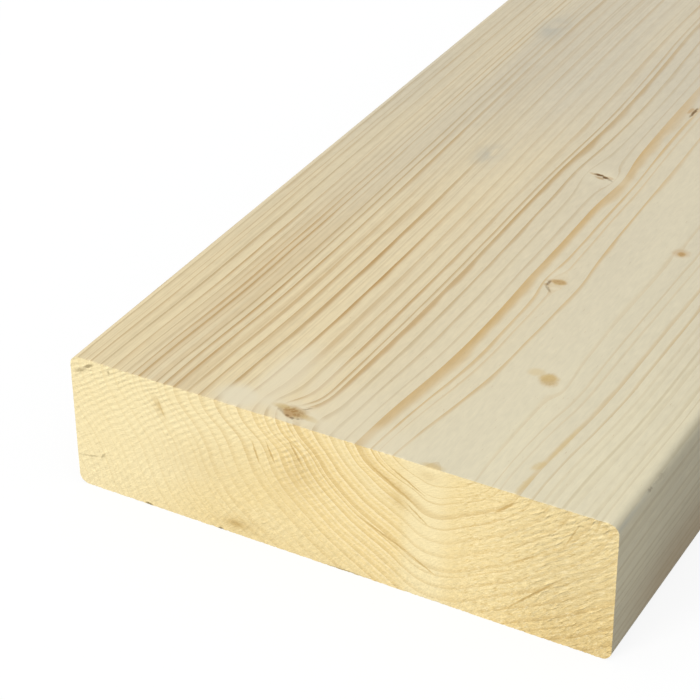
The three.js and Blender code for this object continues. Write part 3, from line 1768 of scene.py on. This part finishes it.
def branches() -> tuple[Knot, ...]:
    """Lists the branch stubs: six near the near end, four whorls beyond, and four on the edges.

    Returns:
        The knots.
    """
    left, top, right, underside = Face
    near = [
        Knot(
            top, -13.7, 5.2, 5.4, 2.35, depth=4, wrap=0.5, tone=0.95, bark=0.3, bark_turn=235, halo=0.7,
            stretch=1.6, turn=-8, pinch=0.5, lean=5.0,
        ),
        Knot(top, 4.6, 168.6, 3.4, 2.2, depth=30, tone=0.06, halo=0.4, stretch=3.0, dent=0.25),
        Knot(top, 20.3, 102.1, 2.4, 1.85, depth=30, tone=0.62, halo=0.15, stretch=2.6, pinch=0.4),
        Knot(top, 40.1, 52.7, 2.8, 3.5, depth=60, drift=0.44, tone=0.4, halo=0.2, stretch=1.8, turn=27),
        Knot(top, 45.7, 134.6, 1.3, 1.5, depth=20, tone=0.9, halo=0.3, turn=24),
        Knot(top, 13.0, 225.0, 0.7, 4.0, depth=10, tone=0.3, halo=0.1, stretch=1.2),
    ]
    draw = np.random.default_rng(SEED + 1)
    sides = ((top, -60, 70), (top, -10, 60), (underside, -70, 70), (underside, -20, 75))
    far = [whorl_knot(draw, *side, along) for along in (560, 1015, 1490, 1960) for side in sides]
    edges = [
        Knot(right, 20.0, 330.0, 3.0, 4.0, depth=40, tone=0.6, bark=0.3),
        Knot(right, 27.0, 1200.0, 5.0, 6.0, depth=40, tone=0.7, bark=0.5),
        Knot(left, 18.0, 760.0, 4.0, 5.0, depth=30, tone=0.6, bark=0.5),
        Knot(left, 26.0, 1710.0, 3.0, 4.0, depth=30, tone=0.8, bark=0.2),
    ]
    return tuple(near + far + edges)


BOWS = (
    Bow(38, 0, 40, 62, -4.1),
    Bow(-52, 0, 26, 62, -1.6),
    Bow(0, 300, 72, 230, -4.9),
    Bow(-6, 220, 10, 90, 2.6),
    Bow(-20, 720, 80, 260, 2.5),
    Bow(20, 1100, 75, 260, -3.5),
    Bow(0, 1600, 80, 320, 4.5),
    Bow(-10, 2080, 70, 240, -3.5),
)
TOP_STREAKS: Streaks = {
    Trace.HONEY: (
        Streak(-8.6, 4.6, 3.0, 1.2, -10, 0.5),
        Streak(-18.8, 6.5, 2.6, 1.2, 8, 0.5),
        Streak(35.4, 54.8, 2.6, 2.0, 20, 0.35),
        Streak(39.5, 53.6, 2.6, 2.0, 20, 0.45),
        Streak(55.2, 14.4, 2.8, 1.3, 70, 0.45),
        Streak(56.9, 26.0, 11.0, 0.9, 87, 0.32),
        Streak(55.6, 5.0, 5.4, 1.0, 86, 0.4),
        Streak(31.0, 0.6, 3.4, 1.6, 0, 0.5),
    ),
    Trace.RESIN: (
        Streak(-13.0, 7.4, 3.6, 0.7, -10, 0.3),
        Streak(-14.8, 3.8, 2.0, 1.2, -35, 1.0),
        # Painted shade beside the split knot's slit, in resin brown.
        Streak(4.4, 167.6, 2.0, 0.8, -10, 0.75),
        Streak(1.4, 169.3, 1.6, 0.7, 0, 0.5),
        Streak(7.2, 168.9, 1.4, 0.9, -20, 0.45),
        Streak(20.6, 102.3, 2.3, 1.1, 0, 0.4),
        Streak(18.4, 102.0, 2.2, 1.0, 20, 0.45),
        Streak(17.4, 99.2, 0.9, 0.8, 0, 0.6),
        Streak(45.5, 135.0, 2.8, 2.6, 20, 0.5),
        Streak(11.7, 225.8, 2.6, 0.8, 88, 0.7),
    ),
    Trace.BLOND: (
        Streak(-14.0, 1.0, 4.6, 0.6, -6, 0.5),
        Streak(-25.0, 18.0, 6.0, 20.0, 0, 0.6),
        Streak(-31.0, 5.0, 7.5, 6.0, 0, 0.9),
        Streak(-2.0, 10.0, 10.0, 16.0, 0, 0.35),
        Streak(15.0, 5.0, 10.0, 7.0, 0, 0.4),
        Streak(-15.0, 24.0, 3.0, 12.0, 0, 0.4),
        # Painted highlight on the lip of the split knot's slit.
        Streak(6.3, 167.5, 0.9, 0.5, 0, 0.9),
        Streak(18.4, 107.0, 4.0, 3.0, 60, 0.35),
        Streak(20.6, 98.2, 1.8, 1.0, 20, 0.5),
    ),
    Trace.BARK: (
        Streak(-14.8, 3.2, 0.7, 0.5, -20, 0.6),
        Streak(-13.1, 2.6, 0.7, 0.45, -25, 0.65),
        Streak(-11.4, 2.9, 0.5, 0.35, 30, 0.4),
        Streak(-11.4, 8.4, 1.4, 0.28, 40, 0.5),
        Streak(3.3, 169.35, 1.8, 0.68, -2, 1.0),
        Streak(5.5, 168.8, 1.35, 0.8, -22, 1.0),
        Streak(7.5, 167.8, 1.6, 0.5, -33, 0.4),
        Streak(17.7, 100.3, 1.7, 0.5, 92, 0.7),
        Streak(18.9, 97.2, 2.3, 0.45, -49, 0.45),
        Streak(13.1, 225.0, 3.8, 0.6, 91, 0.9),
        # A nick on the right arris, darkened with painted shade, and a thin line of painted shade along that
        # arris.
        Streak(84.1, 20.6, 1.8, 0.3, 88, 0.55),
        Streak(84.2, 27.0, 6.0, 0.25, 88, 0.25),
    ),
}
END_STREAKS: Streaks = {
    Trace.RESIN: (
        Streak(-54.2, 35.4, 3.6, 0.3, 112, 0.4),
        Streak(-23.4, 30.6, 3.4, 0.35, 108, 0.75),
        Streak(-18.6, 32.0, 3.6, 0.35, 112, 0.8),
        Streak(-10.6, 34.6, 4.4, 0.4, 120, 0.8),
        Streak(19.4, 34.6, 8.6, 0.35, 148, 0.8),
        Streak(23.6, 37.4, 6.2, 0.3, 150, 0.8),
        Streak(26.6, 27.6, 4.2, 0.3, 142, 0.7),
        Streak(17.0, 16.8, 9.0, 0.35, 156, 0.8),
        Streak(28.4, 11.2, 4.6, 0.3, 152, 0.7),
        Streak(52.4, 38.6, 4.2, 0.4, 42, 0.85),
        Streak(71.6, 36.4, 4.8, 0.3, 66, 0.6),
        Streak(58.6, 24.2, 5.0, 0.3, 36, 0.6),
        Streak(61.4, 13.6, 11.0, 0.35, 45, 0.8),
    ),
    Trace.BLOND: (Streak(-8.6, 37.4, 5.2, 0.45, 121, 0.45),),
    Trace.BARK: (
        Streak(-78.2, 42.0, 1.8, 0.6, 30, 0.6),
        Streak(-81.0, 39.9, 2.4, 0.5, 28, 0.5),
        Streak(-71.5, 42.0, 0.5, 0.5, 80, 0.5),
        Streak(-80.0, 10.6, 3.4, 0.3, 12, 0.35),
        Streak(-75.6, 12.0, 1.2, 0.4, 50, 0.4),
        # Painted shadow along the bottom edge of the end, over small tear-outs.
        Streak(-60.4, 0.3, 1.3, 0.5, 0, 0.8),
        Streak(-36.0, 0.2, 0.9, 0.5, 0, 0.8),
        Streak(4.0, 0.1, 6.0, 0.4, 0, 0.45),
    ),
}
TOP_GRIME_AND_ARRIS_SHADE = (
    Mark(-57, 264, 4.6, 8.5, 0.85),
    Mark(-34.5, 165, 3.6, 6.5, 0.62),
    # Painted shade on the lower part of the near right arris.
    Mark(85.8, 5, 1.1, 15, 0.6),
    Mark(20, 700, 5, 12, 0.4),
    Mark(-50, 1380, 6, 14, 0.4),
)
NEAR_STAINS = (
    Mark(-10, 28, 9.0, 6.0, 0.22, 60),
    Mark(-44, 20, 17.0, 9.0, 0.13, 10),
    Mark(-28, 4, 9.0, 3.0, 0.16),
    Mark(21, 30, 3.4, 1.8, 0.35, -35),
    Mark(-31, 3.6, 3.2, 1.2, 0.55),
    Mark(-55, 36, 1.2, 3.2, 0.4, 25),
    Mark(30, 41, 3.2, 1.6, 0.25),
)
FAR_STAINS = (Mark(12, 30, 6.0, 3.0, 0.5, 20), Mark(-40, 12, 3.0, 2.0, 0.6))


@dataclass(frozen=True)
class Plank:
    """The whole visible plank: one closed piece of spruce.

    A share of its ends' edges stays sound. Chance nicks the rest, in proportion to the nick sizes:
    back from the end, and down from the upper edge or up from the lower one. The upright edges
    are nicked back like the lower one.
    """

    blank: Blank
    trunk: Trunk
    near: SawnEnd
    far: SawnEnd
    sound_share: float = 0.45
    upper_back: float = 0.5
    upper_down: float = 0.25
    lower_back: float = 0.2
    lower_up: float = 0.2
    end_depth: float = 2.0

    @classmethod
    def from_frame(cls) -> "Plank":
        """Reads the stock's size and grows the tree round it.

        Returns:
            The plank.
        """
        blank = Blank.from_frame()
        trunk = Trunk(blank, hand_counted_rings(), branches(), BOWS)
        near = SawnEnd(True, blank, 0.5, 0.004, SEED + 10, NEAR_STAINS)
        far = SawnEnd(False, blank, 0.95, 0.504, SEED + 20, FAR_STAINS)
        return cls(blank, trunk, near, far)

    def nick_rims(self, points: Array, rims: list[Array]) -> None:
        """Breaks the ends' edges as a saw does, always inward.

        Args:
            points: Every point, changed in place.
            rims: Point numbers round the near end and the far end.
        """
        draw = np.random.default_rng(SEED + 4)
        for rim, inward in zip(rims, (1.0, -1.0)):
            loss = np.clip(draw.random(len(rim)) - self.sound_share, 0, None)
            upper, lower = points[rim, 2] > self.blank.thickness - 1, points[rim, 2] < 1
            points[rim, 1] += inward * loss * np.where(upper, self.upper_back, self.lower_back)
            points[rim, 2] += loss * (lower * self.lower_up - upper * self.upper_down)

    def sharpen(self, mesh: bpy.types.Mesh, rims: list[Array]) -> None:
        """Keeps the edge round each end crisp.

        Args:
            mesh: The plank's mesh.
            rims: Point numbers round each end, in order.
        """
        follower = np.full(len(mesh.vertices), -1)
        for rim in rims:
            follower[rim] = np.roll(rim, -1)
        edges = np.zeros(len(mesh.edges) * 2, np.int32)
        mesh.edges.foreach_get("vertices", edges)
        first, second = edges.reshape(-1, 2).T
        crisp = (follower[first] == second) | (follower[second] == first)
        mesh.attributes.new("sharp_edge", "BOOLEAN", "EDGE").data.foreach_set("value", crisp)

    def carry(self, mesh: bpy.types.Mesh, name: str, values: Array) -> None:
        """Stores something at every point for the finishes to read.

        Args:
            mesh: The plank's mesh.
            name: What the finishes call it.
            values: A number or a row of three for each point.
        """
        kind, slot = ("FLOAT", "value") if values.ndim == 1 else ("FLOAT_VECTOR", "vector")
        made = mesh.attributes.new(name, kind, "POINT")
        made.data.foreach_set(slot, np.ascontiguousarray(values, np.float32).ravel())

    def mark(self, mesh: bpy.types.Mesh, spots: Spots) -> None:
        """Tells the mesh what growth, the saw and handling left at each point, and where shade is painted on
        the near right arris.

        Args:
            mesh: The plank's mesh.
            spots: Its points, as they were before the ends' edges were nicked.
        """
        reach, look = self.trunk.nearest_knot(spots)
        self.carry(mesh, "from_pith", self.trunk.from_pith(spots))
        self.carry(mesh, "knot_reach", reach)
        self.carry(mesh, "knot_look", look)
        unrolled = spots.x + np.sign(spots.x) * (self.blank.thickness - spots.z)
        # Grime marks, and painted shade on the near right arris.
        grime_and_painted_shade = sum(mark.cover(unrolled, spots.along) for mark in TOP_GRIME_AND_ARRIS_SHADE)
        self.carry(mesh, "grime_and_painted_shade", grime_and_painted_shade * (spots.z > self.blank.thickness / 2))
        saw, stain = np.zeros((len(spots.x), 3)), np.zeros(len(spots.x))
        for end in (self.near, self.far):
            here = np.abs(spots.along - (0 if end.near else self.blank.length)) < self.end_depth
            saw[here], stain[here] = end.marks(spots.x[here], spots.z[here])
        self.carry(mesh, "saw_marks", saw)
        self.carry(mesh, "stain", stain)

    def build(self) -> bpy.types.Object:
        """Makes the piece.

        Returns:
            The plank's object.
        """
        skin, layer = Skin(), PlankSkin(self.trunk, Section(self.blank))
        rims = layer.wrap(skin)
        layer.end_face(skin, rims[0], self.near)
        layer.end_face(skin, rims[1], self.far)
        plain = np.concatenate(skin.points)
        points = plain.copy()
        self.nick_rims(points, rims)
        placed = (points + [0, self.blank.near_end, 0]) * MM
        triangles = np.concatenate(skin.triangles)
        mesh = bpy.data.meshes.new(PIECE_NAME)
        mesh.from_pydata(placed.tolist(), [], triangles.tolist())
        mesh.polygons.foreach_set("material_index", np.concatenate(skin.finishes).astype(np.int32))
        mesh.polygons.foreach_set("use_smooth", np.ones(len(triangles), bool))
        corners = np.concatenate(skin.corners)
        mesh.uv_layers.new(name=BAKE_MAP).data.foreach_set("uv", corners.ravel().astype(np.float32))
        self.sharpen(mesh, rims)
        self.mark(mesh, Spots(*plain.T))
        return add_object(PIECE_NAME, mesh)

    def dress(self, piece: bpy.types.Object) -> None:
        """Gives the piece its finishes and ties it to the frame.

        Args:
            piece: The plank's object.
        """
        piece.data.materials.append(PlanedSpruce().lay(self.trunk, TOP_STREAKS))
        piece.data.materials.append(SawnEndGrain().lay(self.trunk, END_STREAKS))
        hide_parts(NODE_NAME)
        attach(piece, BODY_NAME)


@dataclass(frozen=True)
class StudioFloor:
    """A wide pale floor that stays white to the eye and keeps the plank's shadow."""

    half_size: float = 60.0
    paint: Colour = (0.15, 0.15, 0.15, 1.0)
    glow: float = 0.86

    def build(self) -> bpy.types.Object:
        """Makes the floor.

        Returns:
            The floor's object.
        """
        half = self.half_size
        corners = [(-half, -half, 0), (half, -half, 0), (half, half, 0), (-half, half, 0)]
        mesh = bpy.data.meshes.new("studio_floor")
        mesh.from_pydata(corners, [], [(0, 1, 2, 3)])
        bench = Bench(bpy.data.materials.new("pale_floor"))
        paint = bench.node("ShaderNodeBsdfDiffuse", {"Color": self.paint})
        white = bench.node("ShaderNodeEmission", {"Strength": bench.seen() * self.glow})
        both = bench.node("ShaderNodeAddShader", {0: paint.outputs[0], 1: white.outputs[0]})
        bench.node("ShaderNodeOutputMaterial", {0: both.outputs[0]})
        mesh.materials.append(bench.owner)
        return add_object("studio_floor", mesh)


@dataclass(frozen=True)
class StudioLight:
    """Even light all round, and one broad soft key from the front left."""

    ambient: Colour = (0.92, 0.96, 1.0, 1.0)
    ambient_strength: float = 0.8
    backdrop: Colour = (1.0, 1.0, 1.0, 1.0)
    key_strength: float = 2.8
    key_colour: Triple = (1.0, 0.96, 0.88)
    key_azimuth: float = -22.0
    key_elevation: float = 14.0
    key_spread: float = 28.0

    def build(self) -> None:
        """Sets up the world and the key."""
        world = bpy.data.worlds.new("studio")
        bpy.context.scene.world = world
        bench = Bench(world)
        fill = bench.node("ShaderNodeBackground", {"Color": self.ambient, "Strength": self.ambient_strength})
        white = bench.node("ShaderNodeBackground", {"Color": self.backdrop, "Strength": 1.0})
        inputs = {0: bench.seen(), 1: fill.outputs[0], 2: white.outputs[0]}
        mix = bench.node("ShaderNodeMixShader", inputs)
        bench.node("ShaderNodeOutputWorld", {0: mix.outputs[0]})
        key = bpy.data.lights.new("soft_key", "SUN")
        key.energy = self.key_strength
        key.color = self.key_colour
        key.angle = math.radians(self.key_spread)
        lamp = add_object("soft_key", key)
        source = outward_line(self.key_azimuth, self.key_elevation)
        lamp.rotation_euler = source.to_track_quat("Z", "Y").to_euler()


@dataclass(frozen=True)
class StudioCamera:
    """The camera, aimed at a point over the near end; angles in degrees, lengths in mm."""

    lens: float = 117.61
    sensor: float = 36.0
    azimuth: float = 29.648
    elevation: float = 32.532
    roll: float = -0.613
    aim_across: float = 6.78
    aim_above: float = 29.32
    distance: float = 592.95
    nearest: float = 10.0
    farthest: float = 200000.0

    def build(self, blank: Blank) -> bpy.types.Object:
        """Places the camera.

        Args:
            blank: The stock that it looks at.

        Returns:
            The camera's object.
        """
        back = outward_line(self.azimuth, self.elevation)
        azimuth = math.radians(self.azimuth)
        right = Vector((math.cos(azimuth), math.sin(azimuth), 0))
        upright = Matrix((right, back.cross(right), back)).transposed()
        tilted = upright @ Matrix.Rotation(math.radians(self.roll), 3, "Z")
        aim = Vector((self.aim_across, blank.near_end, blank.thickness + self.aim_above))
        data = bpy.data.cameras.new("studio_camera")
        data.lens = self.lens
        data.sensor_width = self.sensor
        data.clip_start = self.nearest * MM
        data.clip_end = self.farthest * MM
        camera = add_object("studio_camera", data)
        camera.matrix_world = Matrix.Translation((aim + back * self.distance) * MM) @ tilted.to_4x4()
        bpy.context.scene.camera = camera
        return camera


def main() -> None:
    """Builds the plank and its studio in order."""
    logging.basicConfig(level=logging.INFO, format="%(message)s")
    bpy.context.scene.view_settings.view_transform = "Standard"
    plank = Plank.from_frame()
    piece = plank.build()
    plank.dress(piece)
    LOG.info("%s: %d triangles on body %s", piece.name, len(piece.data.polygons), BODY_NAME)
    floor = StudioFloor().build()
    LOG.info("%s: staged", floor.name)
    StudioLight().build()
    camera = StudioCamera().build(plank.blank)
    LOG.info("%s: placed", camera.name)


if __name__ == "__main__":
    main()
